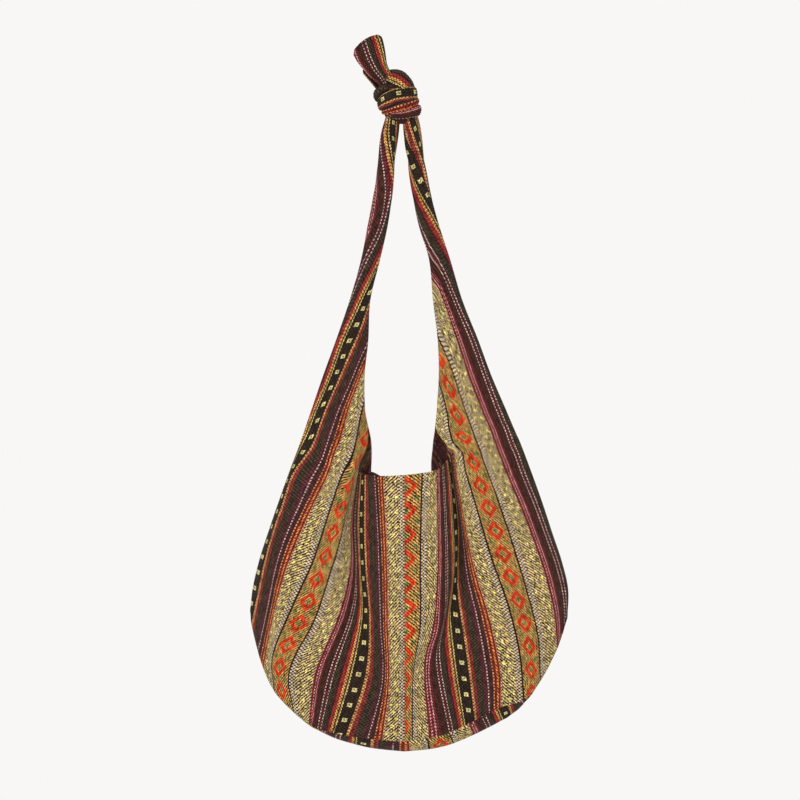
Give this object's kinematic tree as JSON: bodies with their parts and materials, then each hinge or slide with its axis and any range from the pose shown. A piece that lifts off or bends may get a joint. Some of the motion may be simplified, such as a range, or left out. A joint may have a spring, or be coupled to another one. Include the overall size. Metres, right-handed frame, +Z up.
{
  "type": "knotted sling shoulder bag of striped woven cloth",
  "caption": "Soft crescent-shaped shoulder bag of striped woven cloth, its strap arms tied in a knot, shown hanging.",
  "frame": {"origin": "the crotch under the knot, where the two strap arms part and a hook or a hand carries the bag", "axes": "+Z up along the hanging bag, -Y towards the viewer of its front, +X to the viewer's right"},
  "size_m": [0.3996, 0.0688, 0.8954],
  "materials": {
    "panel_cloth": "matt woven stripes",
    "gusset_cloth": "matt woven stripes",
    "strap_cloth": "matt woven stripes"
  },
  "bodies": {
    "root": {"front_left_arm": "panel_cloth", "front_left_panel": "panel_cloth", "front_right_arm": "panel_cloth", "front_right_panel": "panel_cloth", "back_left_arm": "panel_cloth", "back_left_panel": "panel_cloth", "back_right_arm": "panel_cloth", "back_right_panel": "panel_cloth", "base_gusset": "gusset_cloth", "strap_knot": "strap_cloth", "knot_tail_front": "strap_cloth", "knot_tail_rear": "strap_cloth"}
  },
  "joints": []
}
